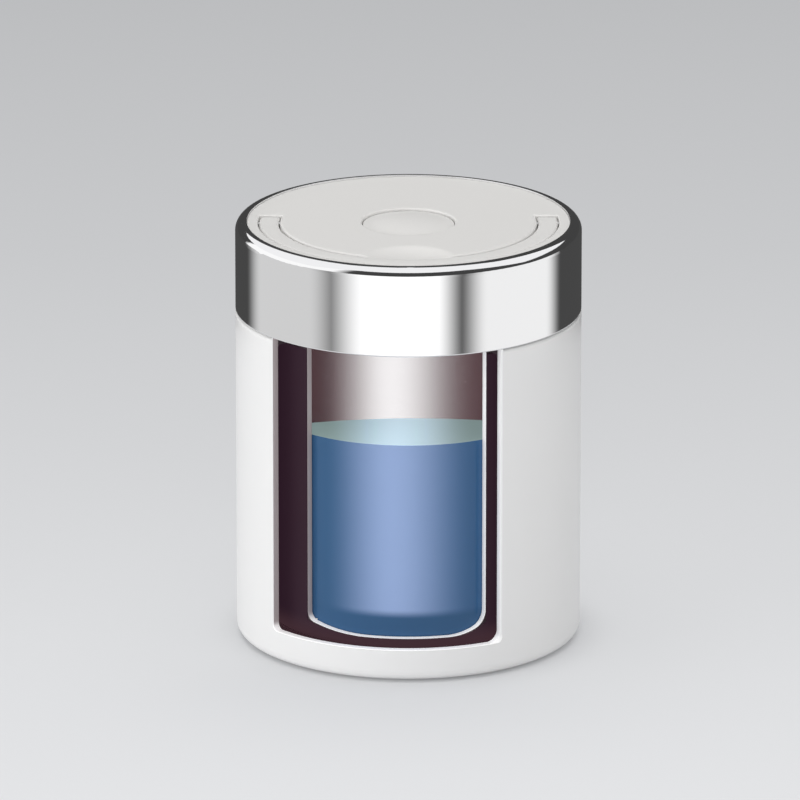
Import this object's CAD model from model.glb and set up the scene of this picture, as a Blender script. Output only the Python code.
import math

import bpy
import numpy as np
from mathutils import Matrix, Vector


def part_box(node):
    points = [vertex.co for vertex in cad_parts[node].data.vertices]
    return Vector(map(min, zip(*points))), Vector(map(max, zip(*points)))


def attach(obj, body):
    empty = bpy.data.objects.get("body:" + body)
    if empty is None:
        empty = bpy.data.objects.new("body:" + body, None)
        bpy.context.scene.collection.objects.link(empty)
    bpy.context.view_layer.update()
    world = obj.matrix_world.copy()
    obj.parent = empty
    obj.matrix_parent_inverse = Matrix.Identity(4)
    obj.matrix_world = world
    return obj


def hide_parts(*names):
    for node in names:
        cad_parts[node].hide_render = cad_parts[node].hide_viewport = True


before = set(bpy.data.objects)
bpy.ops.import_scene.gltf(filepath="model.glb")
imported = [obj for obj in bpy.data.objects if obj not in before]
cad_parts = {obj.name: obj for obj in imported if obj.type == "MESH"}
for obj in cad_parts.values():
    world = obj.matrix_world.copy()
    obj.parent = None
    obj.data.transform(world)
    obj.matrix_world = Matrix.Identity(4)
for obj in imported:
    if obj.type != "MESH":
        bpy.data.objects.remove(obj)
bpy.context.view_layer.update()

# ---- Outer shell ----
# Stainless steel, drawn to a cup and coated gloss white outside. The front is sectioned, so
# the cut edge and everything inside are bare metal.

mm = 0.001
shell_low, shell_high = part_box("outer_shell")
shell_radius = shell_high.x
foot_height = shell_low.z
lid_low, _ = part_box("lid_band")
shell_top = lid_low.z - 0.3 * mm
base_corner = 3 * mm
shoulder_corner = 1.2 * mm
coat_depth = 0.12 * mm
shell_white = (0.87, 0.867, 0.862)
bare_steel = (0.85, 0.82, 0.82)
gap_dark = (0.045, 0.027, 0.036)
shell_wall = 2.2 * mm
bare_roughness, coat_roughness = 0.42, 0.3
orange_peel = 0.05
bump_height = 0.02 * mm


def put(socket, value):
    """Sets a socket's own value; a colour is given without its alpha."""
    if isinstance(value, tuple):
        value = (*value, 1)[:len(socket.default_value)]
    socket.default_value = value


class Finish:
    """A material with its node tree, Principled shader and short ways to add and join nodes."""

    def __init__(self, name):
        self.material = bpy.data.materials.new(name)
        self.material.use_nodes = True
        self.tree = self.material.node_tree
        self.shader = self.tree.nodes["Principled BSDF"]

    def node(self, kind, **values):
        made = self.tree.nodes.new(kind)
        for key, value in values.items():
            setattr(made, key, value)
        return made

    def join(self, source, target):
        self.tree.links.new(source, target)

    def set(self, **values):
        for key, value in values.items():
            put(self.shader.inputs[key.replace("_", " ")], value)

    def group(self, tree, **values):
        made = self.node("ShaderNodeGroup", node_tree=tree)
        for key, value in values.items():
            put(made.inputs[key.replace("_", " ")], value)
        return made

    def paint(self, node_name):
        """Gives this finish to a CAD node."""
        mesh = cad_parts[node_name].data
        mesh.materials.clear()
        mesh.materials.append(self.material)

    def blend_base(self, share, first, second):
        """The base colour is a blend of two colours by a share."""
        self.join(blend_colours(self.tree, share, first, second), self.shader.inputs["Base Color"])

    def bump(self, height, strength):
        """Tilts the normals by a height."""
        made = self.node("ShaderNodeBump")
        put(made.inputs["Strength"], strength)
        put(made.inputs["Distance"], bump_height)
        self.join(height, made.inputs["Height"])
        self.join(made.outputs[0], self.shader.inputs["Normal"])


def new_group(name, inputs, outputs):
    """An empty shader node group; inputs and outputs are lists of (name, socket kind, value)."""
    tree = bpy.data.node_groups.new(name, "ShaderNodeTree")
    for label, kind, value in inputs:
        socket = tree.interface.new_socket(label, in_out="INPUT", socket_type=kind)
        socket.default_value = value
    for label, kind in outputs:
        tree.interface.new_socket(label, in_out="OUTPUT", socket_type=kind)
    entry = tree.nodes.new("NodeGroupInput")
    leave = tree.nodes.new("NodeGroupOutput")
    return tree, entry, leave


def maths(tree, operation, a, b=None, c=None):
    """A Math node; a, b and c are sockets or numbers. Returns its output."""
    made = tree.nodes.new("ShaderNodeMath")
    made.operation = operation
    for index, value in enumerate((a, b, c)):
        if value is None:
            continue
        if isinstance(value, (int, float)):
            made.inputs[index].default_value = value
        else:
            tree.links.new(value, made.inputs[index])
    return made.outputs[0]


def blend_colours(tree, share, first, second):
    """A colour between first and second; each is a socket or a colour. Returns its output."""
    made = tree.nodes.new("ShaderNodeMix")
    made.data_type = "RGBA"
    tree.links.new(share, made.inputs["Factor"])
    for label, value in (("A", first), ("B", second)):
        socket = next(s for s in made.inputs if s.name == label and s.type == "RGBA")
        if isinstance(value, tuple):
            socket.default_value = (*value, 1)
        else:
            tree.links.new(value, socket)
    return next(s for s in made.outputs if s.type == "RGBA")


def share_between(tree, value, low, high, start=0.0, end=1.0, smooth=True):
    """A number that goes from start to end while a value goes from low to high."""
    made = tree.nodes.new("ShaderNodeMapRange")
    made.interpolation_type = "SMOOTHSTEP" if smooth else "LINEAR"
    tree.links.new(value, made.inputs["Value"])
    for label, number in (("From Min", low), ("From Max", high), ("To Min", start), ("To Max", end)):
        put(made.inputs[label], number)
    return made.outputs[0]


def object_place(tree):
    """Object coordinates as x, y, z sockets and the distance from the jar's axis."""
    place = tree.nodes.new("ShaderNodeTexCoord").outputs["Object"]
    parts = tree.nodes.new("ShaderNodeSeparateXYZ")
    tree.links.new(place, parts.inputs[0])
    x, y, z = parts.outputs
    square = maths(tree, "ADD", maths(tree, "MULTIPLY", x, x), maths(tree, "MULTIPLY", y, y))
    return place, x, y, z, maths(tree, "SQRT", square)


def surface_grain():
    """Low mottling and fine grain: two noises over the object, as a mask and a height."""
    tree, entry, leave = new_group(
        "surface_grain",
        [("Mottle Scale", "NodeSocketFloat", 30.0), ("Grain Scale", "NodeSocketFloat", 4000.0),
         ("Stretch", "NodeSocketVector", (1, 1, 1))],
        [("Mottle", "NodeSocketFloat"), ("Grain", "NodeSocketFloat")])
    place = tree.nodes.new("ShaderNodeTexCoord").outputs["Object"]
    scaled = tree.nodes.new("ShaderNodeVectorMath")
    scaled.operation = "MULTIPLY"
    tree.links.new(place, scaled.inputs[0])
    tree.links.new(entry.outputs["Stretch"], scaled.inputs[1])
    for label, vector, detail in (("Mottle", place, 3.0), ("Grain", scaled.outputs[0], 2.0)):
        noise = tree.nodes.new("ShaderNodeTexNoise")
        put(noise.inputs["Detail"], detail)
        tree.links.new(vector, noise.inputs["Vector"])
        tree.links.new(entry.outputs[label + " Scale"], noise.inputs["Scale"])
        tree.links.new(noise.outputs[0], leave.inputs[label])
    return tree


def coat_reach():
    """Coated is 1 on the shell's outside: a point is outside when it lies less than the coat's
    depth under the outline, a cylinder with one rounded corner at each end. Inner is 1 nearer to
    the axis than the wall, on the shoulder and its cut faces."""
    tree, entry, leave = new_group("coat_reach", [], [("Coated", "NodeSocketFloat"),
                                                      ("Inner", "NodeSocketFloat")])
    _, _, _, z, r = object_place(tree)
    found = []
    for corner, past in ((base_corner, maths(tree, "SUBTRACT", foot_height + base_corner, z)),
                         (shoulder_corner, maths(tree, "SUBTRACT", z, shell_top - shoulder_corner))):
        out = maths(tree, "MAXIMUM", maths(tree, "SUBTRACT", r, shell_radius - corner), 0.0)
        up = maths(tree, "MAXIMUM", past, 0.0)
        reach = maths(tree, "SQRT", maths(tree, "ADD", maths(tree, "MULTIPLY", out, out),
                                          maths(tree, "MULTIPLY", up, up)))
        found.append(maths(tree, "GREATER_THAN", reach, corner - coat_depth))
    tree.links.new(maths(tree, "MAXIMUM", *found), leave.inputs["Coated"])
    tree.links.new(maths(tree, "LESS_THAN", r, shell_radius - shell_wall - 0.05 * mm),
                   leave.inputs["Inner"])
    return tree


grain_group = surface_grain()

white_coat = Finish("white_coat")
coated, inner = white_coat.group(coat_reach()).outputs
mottle = white_coat.group(grain_group, Mottle_Scale=22.0, Grain_Scale=2600.0)
coat_colour = blend_colours(white_coat.tree, mottle.outputs["Mottle"], shell_white,
                            tuple(0.985 * c for c in shell_white))
bare = maths(white_coat.tree, "SUBTRACT", 1.0, coated)
dark = maths(white_coat.tree, "MULTIPLY", inner, bare)
bare_colour = blend_colours(white_coat.tree, dark, bare_steel, gap_dark)
white_coat.blend_base(coated, bare_colour, coat_colour)
white_coat.join(maths(white_coat.tree, "SUBTRACT", bare, dark),
                white_coat.shader.inputs["Metallic"])
white_coat.join(maths(white_coat.tree, "MULTIPLY_ADD", coated, coat_roughness - bare_roughness,
                      bare_roughness), white_coat.shader.inputs["Roughness"])
white_coat.bump(mottle.outputs["Grain"], orange_peel)
white_coat.set(Coat_Weight=0.15, Coat_Roughness=0.12)
white_coat.paint("outer_shell")

# ---- Window rims ----
# Where the shell and the vessel are cut open, the edge is ground and polished to a rounded
# bead, so that the cut isn't sharp. Each bead follows its window down, along and up again.


def surface(name, points, closed_around=False, closed_along=False, caps=False):
    """A mesh over a grid of points, rows by columns, in metres: each cell is one quad. The grid
    may close around its columns and along its rows, or end in flat caps."""
    rows, columns = points.shape[:2]
    row_steps = rows if closed_along else rows - 1
    column_steps = columns if closed_around else columns - 1
    i, j = np.meshgrid(np.arange(row_steps), np.arange(column_steps), indexing="ij")
    next_i = (i + 1) % rows
    next_j = (j + 1) % columns
    quads = np.stack([i * columns + j, i * columns + next_j,
                      next_i * columns + next_j, next_i * columns + j], -1).reshape(-1, 4)
    faces = quads.tolist()
    if caps:
        faces.append(list(range(columns))[::-1])
        faces.append([(rows - 1) * columns + k for k in range(columns)])
    mesh = bpy.data.meshes.new(name)
    mesh.from_pydata(points.reshape(-1, 3), [], faces)
    piece = bpy.data.objects.new(name, mesh)
    bpy.context.scene.collection.objects.link(piece)
    return piece


def finish_mesh(piece, sharp_angle=35.0):
    """Merges doubled points, turns faces outwards, and shades smooth up to an angle."""
    bpy.context.view_layer.objects.active = piece
    bpy.ops.object.select_all(action="DESELECT")
    piece.select_set(True)
    bpy.ops.object.mode_set(mode="EDIT")
    bpy.ops.mesh.select_all(action="SELECT")
    bpy.ops.mesh.remove_doubles(threshold=1e-7)
    bpy.ops.mesh.normals_make_consistent(inside=False)
    bpy.ops.object.mode_set(mode="OBJECT")
    piece.data.shade_smooth()
    piece.data.set_sharp_from_angle(angle=math.radians(sharp_angle))
    return piece


def dress(piece, finish, body, replaces=()):
    """Gives a piece its finish and its record slot, and lets it ride on its body."""
    piece.data.materials.append(finish.material)
    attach(piece, body)
    if replaces:
        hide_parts(*replaces)
    return piece


def rounded_section(u0, u1, v0, v1, corners, steps=6):
    """Closed outline of a rectangle in (u, v) whose four corners, from (u0, v0)
    anticlockwise, are quarter circles of the given radii."""
    outline = []
    middles = ((u0, v0, 1, 1, 180), (u1, v0, -1, 1, 270), (u1, v1, -1, -1, 0), (u0, v1, 1, -1, 90))
    for (u, v, to_u, to_v, start), radius in zip(middles, corners):
        turn = np.radians(start + np.linspace(0, 90, steps))
        outline.append(np.stack([u + to_u * radius + radius * np.cos(turn),
                                 v + to_v * radius + radius * np.sin(turn)], -1))
    return np.concatenate(outline)


def sill_end(edge, sill, arc, rise, fillet):
    """The left end of a window's path, and the directions from it into the opening. From the
    upright at x = edge a fillet turns into an arc that sinks by its rise to the sill. The
    fillet's centre is one fillet radius right of the edge, and as far from the arc's centre
    as their radii differ."""
    inset = math.sqrt(rise * (2 * arc - rise))
    meet = math.asin((inset - fillet) / (arc - fillet))
    turn = np.unique(np.concatenate([np.linspace(meet, math.pi / 2, fillet_steps),
                                     np.linspace(0, meet, arc_steps)]))[::-1]
    fillet_z = sill + arc - math.sqrt((arc - fillet) ** 2 - (inset - fillet) ** 2)
    on_arc = turn <= meet
    reach = np.where(on_arc, arc, fillet)
    into = np.stack([np.sin(turn), np.cos(turn)], -1)
    middle = np.stack([edge + np.where(on_arc, inset, fillet),
                       np.where(on_arc, sill + arc, fillet_z)], -1)
    return middle - reach[:, None] * into, into, np.where(reach < tight_turn, deep_seat, seat)


def window_rim(name, radius, first, last, sill, top, ends, right_share, section):
    """A bead round three sides of a curved window. Its path in (arc length, height) is two
    uprights and a sill with its two ends; each section point stands off the path by its first
    number, into the opening, and from the jar's axis by its second. The first grows to its
    right share along the right end. Under 0 it is a share of the bead's seat in the wall,
    which is deeper where the path turns tightly."""
    mirror = np.array([-1, 1])
    left, left_in, left_seat = sill_end(math.radians(first) * radius, sill, *ends[0])
    right, right_in, right_seat = sill_end(-math.radians(last) * radius, sill, *ends[1])
    right, right_in = right[::-1] * mirror, right_in[::-1] * mirror
    rise = np.linspace(0, 1, upright_steps + 1)[1:, None]
    left_up = left[0] + rise[::-1] * (top - left[0, 1]) * np.array([0, 1])
    right_up = right[-1] + rise * (top - right[-1, 1]) * np.array([0, 1])
    sill_run = left[-1] + np.linspace(0, 1, sill_steps + 2)[1:-1, None] * (right[0] - left[-1])
    path = np.concatenate([left_up, left, sill_run, right, right_up])
    into = np.concatenate([np.tile([1.0, 0.0], (upright_steps, 1)), left_in,
                           np.tile([0.0, 1.0], (sill_steps, 1)), right_in,
                           np.tile([-1.0, 0.0], (upright_steps, 1))])
    sunk = np.concatenate([np.full(upright_steps, seat), left_seat, np.full(sill_steps, seat),
                           right_seat[::-1], np.full(upright_steps, seat)])
    grown = np.concatenate([np.ones(upright_steps + len(left) + sill_steps),
                            np.linspace(1, right_share, len(right)),
                            np.full(upright_steps, right_share)])
    off, out = section[:, 0], section[:, 1]
    stand = np.where(off > 0, off * grown[:, None], off * sunk[:, None])
    place = path[:, None, :] + into[:, None, :] * stand[:, :, None]
    angle = place[..., 0] / radius
    points = np.stack([out * np.sin(angle), -out * np.cos(angle), place[..., 1]], -1)
    return finish_mesh(surface(name, points, closed_around=True, caps=True))


window_top = shell_top + 0.35 * mm
vessel_outer = 44.8 * mm
vessel_wall = 2.0 * mm
seat, deep_seat, tight_turn = 0.08 * mm, 1.9 * mm, 8 * mm
rim_stands, rim_round, rim_inset = 0.15 * mm, 0.12 * mm, 0.03 * mm
upright_steps, sill_steps, fillet_steps, arc_steps = 59, 58, 14, 44
between_walls = 47 * mm
vessel_sill_higher = 3 * mm
sill_colour_to, side_colour_from = 10.4 * mm, 13 * mm
no_glow = (0.0, 0.0, 0.0)


def rim_section(inner, outer):
    """The bead's outline: its seat in the wall, then two rounded edges in the opening."""
    face = rounded_section(0.01 * mm, rim_stands, inner, outer, [0, rim_round, rim_round, 0])
    return np.concatenate([[(-1.0, inner)], face, [(-1.0, outer)]])


ground_rim = Finish("ground_rim")
rim_grain = ground_rim.group(grain_group, Mottle_Scale=90.0, Grain_Scale=3000.0)
_, rim_x, _, rim_z, rim_r = object_place(ground_rim.tree)
left_side = maths(ground_rim.tree, "LESS_THAN", rim_x, 0.0)
on_vessel = maths(ground_rim.tree, "LESS_THAN", rim_r, between_walls)
sill_z = maths(ground_rim.tree, "MULTIPLY_ADD", on_vessel, -vessel_sill_higher, rim_z)
up_share = share_between(ground_rim.tree, sill_z, sill_colour_to, side_colour_from)
side_colour = blend_colours(ground_rim.tree, left_side, (0.86, 0.85, 0.855), (0.45, 0.39, 0.395))
rim_colour = blend_colours(ground_rim.tree, up_share, (0.93, 0.92, 0.92), side_colour)
coat_edge = maths(ground_rim.tree, "GREATER_THAN", rim_r, shell_radius - 0.16 * mm)
rim_colour = blend_colours(ground_rim.tree, coat_edge, rim_colour, (0.94, 0.94, 0.94))
in_gap = maths(ground_rim.tree, "COMPARE", rim_r, vessel_outer, 0.045 * mm)
ground_rim.blend_base(in_gap, rim_colour, gap_dark)
ground_rim.join(maths(ground_rim.tree, "MULTIPLY_ADD", rim_grain.outputs["Mottle"], 0.1, 0.35),
                ground_rim.shader.inputs["Roughness"])
right_glow = blend_colours(ground_rim.tree, on_vessel, (0.01, 0.01, 0.01), (0.11, 0.11, 0.115))
side_glow = blend_colours(ground_rim.tree, left_side, right_glow, no_glow)
rim_glow = blend_colours(ground_rim.tree, up_share, (0.3, 0.29, 0.29), side_glow)
ground_rim.join(blend_colours(ground_rim.tree, in_gap, rim_glow, no_glow),
                ground_rim.shader.inputs["Emission Color"])
ground_rim.set(Coat_Weight=0.3, Coat_Roughness=0.15, Emission_Strength=1.0)

shell_rim = window_rim(
    "shell_rim", shell_radius, -51.4, 32.6, 10.1 * mm, window_top,
    ((2 * mm, 2 * mm, 1 * mm), (4 * mm, 4 * mm, 1 * mm)), 4,
    rim_section(shell_radius - shell_wall + rim_inset, shell_radius - rim_inset))
dress(shell_rim, ground_rim, "jar")

vessel_rim = window_rim(
    "vessel_rim", vessel_outer, -42, 31, 11.5 * mm, window_top,
    ((80 * mm, 2.6 * mm, 3 * mm), (22 * mm, 3.6 * mm, 6 * mm)), 2.5,
    rim_section(vessel_outer - vessel_wall + rim_inset, vessel_outer - rim_inset))
dress(vessel_rim, ground_rim, "jar")

# ---- Base ----
# A pressed pan closes the shell below. A solder bead fills its vacuum port, a getter capsule
# sits inside, and a ribbed silicone ring carries the jar.

dull_metal = Finish("dull_metal")
dull_metal.set(Base_Color=(0.42, 0.43, 0.44), Metallic=1.0, Roughness=0.55)
dull_metal.paint("port_seal")
dull_metal.paint("getter")

foot_silicone = Finish("foot_silicone")
foot_grain = foot_silicone.group(grain_group, Mottle_Scale=60.0, Grain_Scale=5000.0)
foot_silicone.blend_base(foot_grain.outputs["Mottle"], (0.46, 0.46, 0.46), (0.5, 0.5, 0.5))
foot_silicone.set(Roughness=0.6)
foot_silicone.paint("foot_pad")

# ---- Inner vessel and foil ----
# The vessel is spun stainless steel with a satin inside. A dark copper-brown foil is wrapped
# round it in the vacuum space, to keep radiant heat in, and darkens the wall there. The welded
# lip at the mouth and the base pan's rim are bare steel.

satin_steel = Finish("satin_steel")
satin_grain = satin_steel.group(grain_group, Mottle_Scale=18.0, Grain_Scale=900.0,
                                Stretch=(1, 1, 12))
_, _, _, steel_z, steel_r = object_place(satin_steel.tree)
gap_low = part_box("base_pan")[1].z + 0.1 * mm
gap_high = shell_high.z - 0.1 * mm
beyond = maths(satin_steel.tree, "GREATER_THAN", steel_r, vessel_outer - 0.04 * mm)
outside = maths(satin_steel.tree, "MULTIPLY", beyond,
                maths(satin_steel.tree, "COMPARE", steel_z, (gap_high + gap_low) / 2,
                      (gap_high - gap_low) / 2))
pale_steel = blend_colours(satin_steel.tree, satin_grain.outputs["Mottle"], (0.76, 0.75, 0.755),
                           (0.80, 0.79, 0.795))
satin_steel.blend_base(outside, pale_steel, gap_dark)
satin_steel.join(maths(satin_steel.tree, "MULTIPLY_ADD", satin_grain.outputs["Grain"], 0.1, 0.2),
                 satin_steel.shader.inputs["Roughness"])
satin_steel.join(maths(satin_steel.tree, "SUBTRACT", 1.0, outside),
                 satin_steel.shader.inputs["Metallic"])
for part in ("inner_vessel", "base_pan", "stopper_pan"):
    satin_steel.paint(part)

gap_foil = Finish("gap_foil")
foil_grain = gap_foil.group(grain_group, Mottle_Scale=16.0, Grain_Scale=240.0,
                            Stretch=(1, 1, 0.15))
gap_foil.blend_base(foil_grain.outputs["Mottle"], (0.013, 0.007, 0.010), (0.019, 0.011, 0.015))
_, _, _, foil_z, _ = object_place(gap_foil.tree)
foil_low, foil_high = 9 * mm, 16 * mm
foil_up = share_between(gap_foil.tree, foil_z, foil_low, foil_high)
gap_foil.join(blend_colours(gap_foil.tree, foil_up, (0.048, 0.023, 0.030), (0.021, 0.009, 0.016)),
              gap_foil.shader.inputs["Emission Color"])
gap_foil.set(Roughness=0.6, Specular_IOR_Level=0.1, Emission_Strength=1.0)
gap_foil.paint("radiation_foil")

# ---- Fill ----
# A cast insert of clear blue resin stands for the food. Its face follows the vessel's wall,
# its top is level and paler where light enters it.

_, fill_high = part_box("contents_fill")

blue_resin = Finish("blue_resin")
_, fill_x, _, fill_z, _ = object_place(blue_resin.tree)
pale_from, pale_middle, pale_to = -25 * mm, -4.2 * mm, 20 * mm
across = share_between(blue_resin.tree, fill_x, pale_from, pale_to, smooth=False)
deep_to, face_from = 17 * mm, 20 * mm


def pale_ramp(left, middle, right):
    """A colour over x that eases from left to middle and on to right."""
    made = blue_resin.node("ShaderNodeValToRGB")
    made.color_ramp.interpolation = "EASE"
    made.color_ramp.elements.new((pale_middle - pale_from) / (pale_to - pale_from))
    for element, colour in zip(made.color_ramp.elements, (left, middle, right)):
        element.color = (*colour, 1)
    blue_resin.join(across, made.inputs[0])
    return made.outputs["Color"]


face_colour = pale_ramp((0.03, 0.1, 0.22), (0.305, 0.42, 0.69), (0.04, 0.12, 0.265))
top_colour = pale_ramp((0.22, 0.305, 0.295), (0.585, 0.765, 0.875), (0.215, 0.29, 0.285))
above_floor = share_between(blue_resin.tree, fill_z, deep_to, face_from)
deep = blend_colours(blue_resin.tree, above_floor, (0.028, 0.096, 0.215), face_colour)
is_top = maths(blue_resin.tree, "GREATER_THAN", fill_z, fill_high.z - 0.02 * mm)
blue_resin.blend_base(is_top, deep, top_colour)
blue_resin.join(blend_colours(blue_resin.tree, is_top, no_glow, top_colour),
                blue_resin.shader.inputs["Emission Color"])
blue_resin.set(Roughness=0.18, Specular_IOR_Level=0.35, Emission_Strength=0.65)
blue_resin.paint("contents_fill")

# ---- Threads ----
# Three starts on the neck's collar, three inside the lid. Each ridge is a flat-topped bar on a
# helix, thinned out at both ends; the lid's ridges lie half a pitch under the jar's.

thread_starts = 3
thread_lead = 12 * mm
thread_height = 0.75 * mm
thread_span = 150
thread_foot = 0.15 * mm


def thread_ridges(name, radius, height, middle, span, outwards):
    """Ridges on helices: a trapezoid stands off the radius by its height, and its middle climbs
    by the lead for each turn. The height eases to nothing over a tenth of the span."""
    half_foot, half_tip = 0.85 * mm, 0.4 * mm
    fade, thinnest = 0.1, 0.02
    along = np.linspace(-0.5, 0.5, 72)
    ease = np.clip((0.5 - np.abs(along)) / fade, thinnest, 1)
    side = np.array([-half_foot, half_foot, half_tip, -half_tip])
    stand = np.array([-thread_foot, -thread_foot, 1.0, 1.0])
    lift = np.where(stand > 0.5, height, stand)[None, :] * np.where(stand > 0.5, ease[:, None], 1)
    reach = radius + (lift if outwards else -lift)
    pieces = []
    for start in range(thread_starts):
        angle = 2 * math.pi * (start / thread_starts + along * span / 360)[:, None]
        climb = middle + thread_lead * along[:, None] * span / 360 + side[None, :]
        pieces.append(np.stack([reach * np.sin(angle), -reach * np.cos(angle), climb], -1))
    ridges = [surface(f"{name}_{index}", points, closed_around=True, caps=True)
              for index, points in enumerate(pieces)]
    bpy.ops.object.select_all(action="DESELECT")
    for ridge in ridges:
        ridge.select_set(True)
    bpy.context.view_layer.objects.active = ridges[0]
    bpy.ops.object.join()
    ridges[0].name = name
    return finish_mesh(ridges[0])


pale_plastic = Finish("pale_plastic")
pale_grain = pale_plastic.group(grain_group, Mottle_Scale=40.0, Grain_Scale=6000.0)
pale_plastic.blend_base(pale_grain.outputs["Mottle"], (0.6, 0.595, 0.58), (0.64, 0.635, 0.62))
pale_plastic.set(Roughness=0.45)
for part in ("thread_collar", "lid_core", "stem_bush"):
    pale_plastic.paint(part)

collar_radius = 47.2 * mm
skirt_radius = 48.4 * mm
jar_thread_z, lid_thread_z = shell_top + 5.4 * mm, shell_top + 3.4 * mm
jar_thread = thread_ridges("jar_thread", collar_radius, thread_height, jar_thread_z, thread_span, True)
dress(jar_thread, pale_plastic, "jar")
lid_thread = thread_ridges("lid_thread", skirt_radius, thread_height, lid_thread_z, thread_span, False)
dress(lid_thread, pale_plastic, "lid")

# ---- Gasket, stopper and vent seal ----
# White silicone ring between mouth and lid, a steel pan packed with foam that reaches into the
# jar, and a silicone disc that closes the vent port.

white_silicone = Finish("white_silicone")
silicone_grain = white_silicone.group(grain_group, Mottle_Scale=70.0, Grain_Scale=4000.0)
white_silicone.blend_base(silicone_grain.outputs["Mottle"], (0.72, 0.72, 0.7), (0.77, 0.77, 0.75))
white_silicone.set(Roughness=0.5, Subsurface_Weight=0.1, Subsurface_Scale=1 * mm)
white_silicone.paint("gasket")
white_silicone.paint("vent_seal")

ivory_foam = Finish("ivory_foam")
foam_grain = ivory_foam.group(grain_group, Mottle_Scale=200.0, Grain_Scale=1500.0)
ivory_foam.blend_base(foam_grain.outputs["Grain"], (0.66, 0.63, 0.52), (0.76, 0.73, 0.62))
ivory_foam.set(Roughness=0.9)
ivory_foam.paint("foam_core")

# ---- Lid band ----
# Stainless steel ring, spun over a shoulder and polished to a mirror.

mirror_steel = Finish("mirror_steel")
mirror_grain = mirror_steel.group(grain_group, Mottle_Scale=14.0, Grain_Scale=500.0,
                                  Stretch=(0.2, 0.2, 6))
mirror_steel.blend_base(mirror_grain.outputs["Mottle"], (0.9, 0.9, 0.905), (0.92, 0.92, 0.925))
mirror_steel.join(maths(mirror_steel.tree, "MULTIPLY_ADD", mirror_grain.outputs["Grain"], 0.02, 0.04),
                  mirror_steel.shader.inputs["Roughness"])
mirror_steel.set(Metallic=1.0)
mirror_steel.paint("lid_band")

bright_steel = Finish("bright_steel")
bright_steel.set(Base_Color=(0.66, 0.66, 0.66), Metallic=1.0, Roughness=0.3)
for part in ("handle_pins", "vent_stem", "stem_clip", "vent_spring"):
    bright_steel.paint(part)

# ---- Top plate ----
# One moulding in satin light grey plastic: land, groove for the handle, finger dish in the
# middle of the front, and a well for the vent button. Its edges are softly rounded.

plate_low, plate_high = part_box("lid_top_plate")
handle_low, handle_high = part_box("handle")
plate_radius = 47.97 * mm
plate_top = plate_high.z
groove_in = 38.15 * mm
groove_out = 44.75 * mm
groove_floor = handle_low.z - 0.2 * mm
pivot_y = 2.6 * mm
pivot_z = 125.5 * mm
pocket_radius = 3.6 * mm
groove_end = handle_high.y + 0.4 * mm
lip_foot = 124.95 * mm
lip_round = 0.3 * mm
well_round = 0.6 * mm
wall_radius = 47.1 * mm
well_radius = 13.85 * mm
dish_y = -38.8 * mm
dish_radius = 13.4 * mm
dish_depth = 2.3 * mm
dish_ball = (dish_radius ** 2 + dish_depth ** 2) / (2 * dish_depth)
dish_blend = 0.35 * mm
inner_round, outer_round = 0.8 * mm, 0.5 * mm


def around_lines(r, fine, beyond):
    """Angles of the plate's grid lines at radius r, from the right-hand groove end round the
    back and the front. Beside the groove's ends a line keeps its distance from the ends' plane,
    so its angle is asin(y / r); between them the angle runs evenly."""
    y = np.concatenate([np.linspace(-1.2, 5.8, 36), fine, [beyond]]) * mm
    right = np.arcsin(y / r)
    left = math.pi - right[::-1]
    back = np.linspace(right[-1], left[0], 72)[1:-1]
    front = np.linspace(left[-1], 2 * math.pi + right[0], 260)[1:-1]
    return np.concatenate([right, back, left, front])


def soft_lower(a, b, width):
    """The smaller of two heights, with the crease between them rounded over a width."""
    share = np.clip(0.5 + 0.5 * (b - a) / width, 0, 1)
    return b + (a - b) * share - width * share * (1 - share)


def plate_height(x, y, r):
    """Height of the moulding's top. The land is flat, dished by a sphere; towards the groove
    it rounds off by a quarter circle, drops as a wall, and meets the floor in a small fillet.
    The floor sinks as a cylinder about the pivot where the handle's knuckles turn."""
    inner_side = r < (groove_in + groove_out) / 2
    ball = plate_top + dish_ball - dish_depth - np.sqrt(
        np.maximum(dish_ball ** 2 - x ** 2 - (y - dish_y) ** 2, (0.5 * dish_ball) ** 2))
    land = np.where(inner_side, soft_lower(plate_top, ball, dish_blend), plate_top)
    inside = np.minimum(np.minimum(r - groove_in, groove_out - r), groove_end - y)
    edge_round = np.where(inner_side, inner_round, outer_round)
    into = np.clip(edge_round + inside, 0, edge_round)
    rounded = land - (edge_round - np.sqrt(edge_round ** 2 - into ** 2))
    sink = pivot_z - np.sqrt(np.maximum(pocket_radius ** 2 - (y - pivot_y) ** 2, 0))
    floor = np.minimum(groove_floor, np.where(np.abs(y - pivot_y) < pocket_radius, sink, groove_floor))
    fillet = np.clip(edge_round - inside, 0, edge_round)
    floor = floor + edge_round - np.sqrt(edge_round ** 2 - np.minimum(fillet, 0.98 * edge_round) ** 2)
    return np.where(inside > 0, floor, np.maximum(rounded, groove_floor))


edge_steps = np.array([1, 0.8, 0.6, 0.42, 0.28, 0.16, 0.07, 0.02, 0])
wall_step = np.array([0.02, 0.06, 0.14, 0.26, 0.45])
groove_in_lines = np.concatenate([groove_in / mm - inner_round / mm * edge_steps,
                                  groove_in / mm + wall_step])
groove_out_lines = np.concatenate([groove_out / mm - wall_step[::-1],
                                   groove_out / mm + outer_round / mm * edge_steps[::-1]])
rings = np.concatenate([
    np.linspace((well_radius + well_round) / mm, groove_in_lines[0], 52)[:-1], groove_in_lines,
    np.linspace(groove_in_lines[-1], groove_out_lines[0], 8)[1:-1], groove_out_lines,
    np.linspace(groove_out_lines[-1], (plate_radius - lip_round) / mm, 6)[1:]]) * mm
end_lines = np.concatenate([groove_end / mm - wall_step[::-1],
                            groove_end / mm + outer_round / mm * edge_steps[::-1]])
angles = np.stack([around_lines(r, end_lines, groove_end / mm + 1.2) for r in rings])
plate_x = rings[:, None] * np.cos(angles)
plate_y = rings[:, None] * np.sin(angles)
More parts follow.
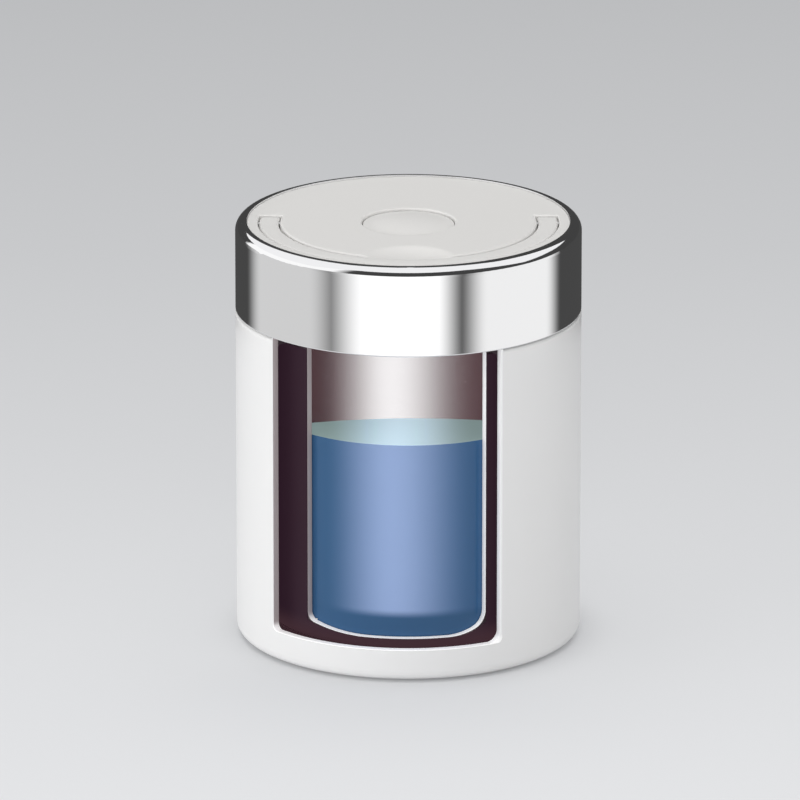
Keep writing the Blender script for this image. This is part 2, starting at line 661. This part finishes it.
plate_grid = np.stack([plate_x, plate_y, plate_height(plate_x, plate_y, rings[:, None])], -1)


def rounded_over(inner, outer, height, drop):
    """(radius, height) rows that turn from a land's edge into a wall by a quarter ellipse."""
    turn = np.linspace(0, math.pi / 2, 8)[1:]
    return np.stack([inner + (outer - inner) * np.sin(turn),
                     height - drop + drop * np.cos(turn)], -1)


def turned(profile, ring_angles):
    """A profile of (radius, height) rows carried round the jar's axis through given angles."""
    r, z = profile[:, :1], profile[:, 1:]
    return np.stack([r * np.cos(ring_angles), r * np.sin(ring_angles),
                     np.broadcast_to(z, (len(r), len(ring_angles)))], -1)


plate_foot = plate_low.z + 0.02 * mm
outer_edge = np.concatenate([
    rounded_over(rings[-1], plate_radius, plate_top, lip_round),
    [(plate_radius, lip_foot), (wall_radius, lip_foot), (wall_radius, plate_foot)]])
inner_edge = np.concatenate([
    rounded_over(rings[0], well_radius, plate_top, well_round), [(well_radius, plate_foot)]])
plate_points = np.concatenate([turned(inner_edge[::-1], angles[0]), plate_grid,
                               turned(outer_edge, angles[-1])])

satin_grey = Finish("satin_grey")
grey_grain = satin_grey.group(grain_group, Mottle_Scale=26.0, Grain_Scale=7000.0)
plate_grey = (0.775, 0.766, 0.75)
mottle_share = 0.975
plastic_bump = 0.12
satin_grey.blend_base(grey_grain.outputs["Mottle"], plate_grey,
                      tuple(mottle_share * c for c in plate_grey))
satin_grey.join(maths(satin_grey.tree, "MULTIPLY_ADD", grey_grain.outputs["Mottle"], 0.1, 0.36),
                satin_grey.shader.inputs["Roughness"])
satin_grey.bump(grey_grain.outputs["Grain"], plastic_bump)
satin_grey.set(Specular_IOR_Level=0.25)

top_plate = surface("top_plate", plate_points, closed_around=True, closed_along=True)
finish_mesh(top_plate, 40)
dress(top_plate, satin_grey, "lid", ["lid_top_plate"])

# ---- Carry handle ----
# Flat C-shaped bar of the same plastic that fills its groove. Both ends are knuckles, rounded
# about the pins; all its edges are rounded for the hand.

handle_in = 38.55 * mm
handle_out = 44.35 * mm
knuckle_radius = 3.3 * mm
handle_bottom, handle_top = handle_low.z, handle_high.z
foot_round, hand_round, round_end = 0.45 * mm, 0.8 * mm, 0.6 * mm


def handle_points():
    """Stations along the bar by rounded section points. A station keeps its angle along the
    bar; near an end it is the set of points whose distance y past the pivot is that of the
    knuckle's cylinder less a step, and the section shrinks there to round the end off."""
    section = rounded_section(handle_in, handle_out, handle_bottom, handle_top,
                              [foot_round, foot_round, hand_round, hand_round], 9)
    r, z = section[:, 0], section[:, 1]
    middle = np.array([(handle_in + handle_out) / 2, (handle_bottom + handle_top) / 2])
    steps = np.concatenate([round_end * (1 - np.cos(np.linspace(0, math.pi / 2, 8))),
                            np.linspace(0.9, 8, 18) * mm])
    shrink = np.where(steps < round_end, round_end - np.sqrt(
        np.maximum(round_end ** 2 - (round_end - steps) ** 2, 0)), 0)
    half = (handle_out - handle_in) / 2
    tall = (handle_top - handle_bottom) / 2
    ends = []
    for step, inset in zip(steps, shrink):
        rr = middle[0] + (r - middle[0]) * (1 - inset / half)
        zz = middle[1] + (z - middle[1]) * (1 - inset / tall)
        y = pivot_y + np.sqrt(knuckle_radius ** 2 - (zz - pivot_z) ** 2) - step
        ends.append((np.arcsin(y / rr), rr, zz))
    right_angle = np.stack([e[0] for e in ends])
    right_r = np.stack([e[1] for e in ends])
    right_z = np.stack([e[2] for e in ends])
    share = np.linspace(0, 1, 150)[1:-1, None]
    start = right_angle[-1][None, :]
    arc = start + (-math.pi - 2 * start) * share
    angle = np.concatenate([right_angle, arc, -math.pi - right_angle[::-1]])
    r_all = np.concatenate([right_r, np.broadcast_to(r, arc.shape), right_r[::-1]])
    z_all = np.concatenate([right_z, np.broadcast_to(z, arc.shape), right_z[::-1]])
    return np.stack([r_all * np.cos(angle), r_all * np.sin(angle), z_all], -1)


handle_grip = surface("handle_grip", handle_points(), closed_around=True, caps=True)
finish_mesh(handle_grip, 50)
handle_finish = Finish("handle_grey")
handle_grain = handle_finish.group(grain_group, Mottle_Scale=26.0, Grain_Scale=7000.0)
handle_grey = (0.785, 0.776, 0.76)
handle_finish.blend_base(handle_grain.outputs["Mottle"], handle_grey,
                         tuple(mottle_share * c for c in handle_grey))
handle_finish.bump(handle_grain.outputs["Grain"], plastic_bump)
handle_finish.set(Roughness=0.38, Specular_IOR_Level=0.25)
dress(handle_grip, handle_finish, "handle", ["handle"])

# ---- Vent button ----
# Round button in the same grey, domed, with its edge a little below the plate. It stands in its
# well with a narrow gap all round.

_, button_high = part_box("vent_button")
button_radius = 13.6 * mm
button_rise = 1.3 * mm
button_dome = (button_radius ** 2 + button_rise ** 2) / (2 * button_rise)
button_round = 0.3 * mm
button_foot, button_inside, button_roof = 123 * mm, 12.2 * mm, 124.6 * mm
boss_radius, boss_foot = 4.4 * mm, 123.8 * mm
dome_r = np.linspace(0, button_radius - button_round, 48)
dome_z = button_high.z - button_dome + np.sqrt(button_dome ** 2 - dome_r ** 2)
button_profile = np.concatenate([
    np.stack([dome_r, dome_z], -1),
    rounded_over(dome_r[-1], button_radius, dome_z[-1], button_round),
    [(button_radius, button_foot), (button_inside, button_foot), (button_inside, button_roof),
     (boss_radius, button_roof), (boss_radius, boss_foot), (0, boss_foot)]])
full_turn = np.linspace(0, 2 * math.pi, 192, endpoint=False)
vent_cap = surface("vent_cap", turned(button_profile, full_turn), closed_around=True)
finish_mesh(vent_cap, 40)
dress(vent_cap, satin_grey, "vent", ["vent_button"])

# ---- Studio ----
# Pale floor that darkens away from the front, a grey surround, soft lamps, and reflection cards
# round the jar that only polished surfaces see.

floor_near, floor_far = -0.16, 0.73
floor_size = 6.0
shadow_radius, paper_radius = 48 * mm, 64 * mm
shadow_glow, paper_glow = 0.2, 0.65


def grey(value):
    """Linear grey of an 8-bit screen value."""
    share = value / 255
    return ((share + 0.055) / 1.055) ** 2.4


floor_points = np.array([[(-floor_size, -floor_size, 0), (floor_size, -floor_size, 0)],
                         [(-floor_size, floor_size, 0), (floor_size, floor_size, 0)]], float)
floor = surface("studio_floor", floor_points)
floor_finish = Finish("floor_paper")
_, _, floor_y, _, floor_r = object_place(floor_finish.tree)
floor_ramp = floor_finish.node("ShaderNodeValToRGB")
floor_finish.join(share_between(floor_finish.tree, floor_y, floor_near, floor_far, smooth=False),
                  floor_ramp.inputs[0])
floor_stops = ((0.0, (229, 230, 232)), (0.16, (222, 223, 225)), (0.39, (212, 213, 215)),
               (0.63, (202, 203, 205)), (1.0, (191, 192, 194)))
for index, (place, colour) in enumerate(floor_stops):
    elements = floor_ramp.color_ramp.elements
    stop = elements[index] if index < 2 else elements.new(place)
    stop.position = place
    stop.color = (*(grey(c) for c in colour), 1)
# Part of what is seen of the floor is its own light, least of it where the jar's shadow falls.
paper_share = share_between(floor_finish.tree, floor_r, shadow_radius, paper_radius,
                            shadow_glow, paper_glow)
floor_path = floor_finish.node("ShaderNodeLightPath")
seen = maths(floor_finish.tree, "MAXIMUM", floor_path.outputs["Is Camera Ray"],
             maths(floor_finish.tree, "MAXIMUM", floor_path.outputs["Is Glossy Ray"],
                   floor_path.outputs["Is Transmission Ray"]))
glow = maths(floor_finish.tree, "MULTIPLY", seen, paper_share)
floor_finish.blend_base(glow, floor_ramp.outputs["Color"], no_glow)
floor_finish.join(blend_colours(floor_finish.tree, glow, no_glow, floor_ramp.outputs["Color"]),
                  floor_finish.shader.inputs["Emission Color"])
floor_finish.set(Roughness=0.9, Specular_IOR_Level=0.0, Emission_Strength=1.0)
floor.data.materials.append(floor_finish.material)


def lit_card(name, points, light):
    """A card over a grid of points that shines with a linear colour at each. Only polished
    surfaces see it, and it casts no shadow."""
    card = surface(name, points)
    shade = card.data.color_attributes.new("shade", "FLOAT_COLOR", "POINT")
    alpha = np.ones((*light.shape[:-1], 1))
    shade.data.foreach_set("color", np.concatenate([light, alpha], -1).ravel())
    card.data.materials.append(card_material)
    for seen_by in ("camera", "diffuse", "shadow", "transmission", "volume_scatter"):
        setattr(card, "visible_" + seen_by, False)
    return card


card_material = bpy.data.materials.new("card_light")
card_material.use_nodes = True
card_tree = card_material.node_tree
card_tree.nodes.clear()
card_shade = card_tree.nodes.new("ShaderNodeAttribute")
card_shade.attribute_name = "shade"
card_glow = card_tree.nodes.new("ShaderNodeEmission")
card_out = card_tree.nodes.new("ShaderNodeOutputMaterial")
card_tree.links.new(card_shade.outputs["Color"], card_glow.inputs["Color"])
card_tree.links.new(card_glow.outputs[0], card_out.inputs["Surface"])

# A drum of cards round the jar: each card has a screen level and four azimuths from the front,
# in degrees, between which it fades in, stays and fades out. Above them runs a dark belt, white
# on the left, that stands high behind the jar.
drum_radius = 0.2
steel_share = 1 / 0.91
drum_azimuth = np.linspace(-180, 180, 361)
drum_dark = grey(68)
belt_fade = 6 * mm
drum_face = np.full(len(drum_azimuth), drum_dark)
for level, *fades in ((205, -123, -103, -62, -36), (266, -55, -22, 14, 34), (238, 28, 48, 92, 109)):
    share = np.interp(drum_azimuth, fades, (0, 1, 1, 0))
    eased = share * share * (3 - 2 * share)
    drum_face = np.maximum(drum_face, drum_dark + (grey(level) - drum_dark) * eased)
drum_belt = np.interp(drum_azimuth, (-122, -118, -45, -35), (0.05, 0.95, 0.95, 0.05))
face_top = np.interp(np.abs(drum_azimuth), (45, 75), (0.14, 0.125))
drum_top = np.interp(drum_azimuth, (-160, -150, -60, -40, 40, 75, 100, 134, 142),
                     (0.43, 0.205, 0.205, 0.31, 0.31, 0.19, 0.212, 0.22, 0.43))
face_foot = np.interp(np.abs(drum_azimuth), (0, 90, 180), (0.052, 0.047, 0.036))
drum_z = np.stack([face_foot, face_top, face_top + belt_fade, drum_top])
drum_light = np.stack([drum_face, drum_face, drum_belt, drum_belt]) * steel_share
drum_turn = np.broadcast_to(np.radians(drum_azimuth), drum_z.shape)
lit_card("reflection_drum",
         np.stack([drum_radius * np.sin(drum_turn), -drum_radius * np.cos(drum_turn), drum_z], -1),
         np.repeat(drum_light[..., None], 3, -1))

# A narrow bright strip on a dark card behind the fill, for the vessel's satin back wall.
strip_x = np.linspace(-40, 40, 81)
strip_behind = 10 * mm
strip_peak = 1.55
strip_size = (2, len(strip_x))
strip_share = np.exp(-((strip_x - 2.8) / 6.2) ** 2) + 0.16 * np.exp(-((strip_x - 15) / 7) ** 2)
strip_share = strip_share[:, None]
strip_light = np.array([0.1, 0.038, 0.047]) * (1 - strip_share) + strip_peak * strip_share
strip_z = np.array([25 * mm, 75 * mm])[:, None]
lit_card("vessel_strip",
         np.stack([np.broadcast_to(strip_x * mm, strip_size), np.full(strip_size, strip_behind),
                   np.broadcast_to(strip_z, strip_size)], -1),
         np.broadcast_to(strip_light, (*strip_size, 3)))

world = bpy.data.worlds.new("studio_world")
world.use_nodes = True
bpy.context.scene.world = world
world_tree = world.node_tree
world_tree.nodes.clear()
world_path = world_tree.nodes.new("ShaderNodeLightPath")
world_glow = world_tree.nodes.new("ShaderNodeBackground")
world_out = world_tree.nodes.new("ShaderNodeOutputWorld")
around = blend_colours(world_tree, world_path.outputs["Is Glossy Ray"],
                       (0.5, 0.5, 0.5), (0.95, 0.95, 0.96))
world_colour = blend_colours(world_tree, world_path.outputs["Is Camera Ray"], around,
                             (grey(205), grey(206), grey(208)))
world_tree.links.new(world_colour, world_glow.inputs["Color"])
world_tree.links.new(world_glow.outputs[0], world_out.inputs["Surface"])


def soft_lamp(name, place, aim, width, height, watts):
    """A lamp at a place, turned towards another; polished surfaces don't see it."""
    data = bpy.data.lights.new(name, "AREA")
    data.shape = "RECTANGLE"
    data.size = width
    data.size_y = height
    data.energy = watts
    lamp = bpy.data.objects.new(name, data)
    bpy.context.scene.collection.objects.link(lamp)
    direction = Vector(aim) - Vector(place)
    lamp.rotation_euler = direction.to_track_quat("-Z", "Y").to_euler()
    lamp.location = place
    lamp.visible_glossy = False
    return lamp


soft_lamp("key_lamp", (-2.5, -0.9, 0.35), (0, 0, 0.06), 2.2, 0.6, 24)
soft_lamp("fill_lamp", (0.1, -2.6, 0.5), (0, 0, 0.06), 1.6, 0.6, 14)
soft_lamp("top_lamp", (0.0, 0.2, 2.0), (0, 0, 0.1), 1.8, 1.8, 20)

# ---- Camera ----
# It looks along +Y from a little above the lid, far enough away to flatten the jar.

camera_distance = 3.09
camera_elevation = math.radians(17.34)
camera_target = np.array([0.0, 0.0, 64.4 * mm])
picture_size = 800
pixels_per_metre = 3347.3
target_pixel = np.array([408.43, 423.4])
back = np.array([0, -math.cos(camera_elevation), math.sin(camera_elevation)])
up = np.array([0, math.sin(camera_elevation), math.cos(camera_elevation)])
aside = (picture_size / 2 - target_pixel[0]) / pixels_per_metre
lifted = (target_pixel[1] - picture_size / 2) / pixels_per_metre
camera_data = bpy.data.cameras.new("camera")
camera_data.sensor_width = 36
camera_data.lens = 36 * pixels_per_metre * camera_distance / picture_size
camera_data.clip_end = 30
camera = bpy.data.objects.new("camera", camera_data)
bpy.context.scene.collection.objects.link(camera)
camera.location = camera_target + back * camera_distance + up * lifted + np.array([aside, 0, 0])
camera.rotation_euler = (math.pi / 2 - camera_elevation, 0, 0)
bpy.context.scene.camera = camera
bpy.context.scene.view_settings.view_transform = "Standard"
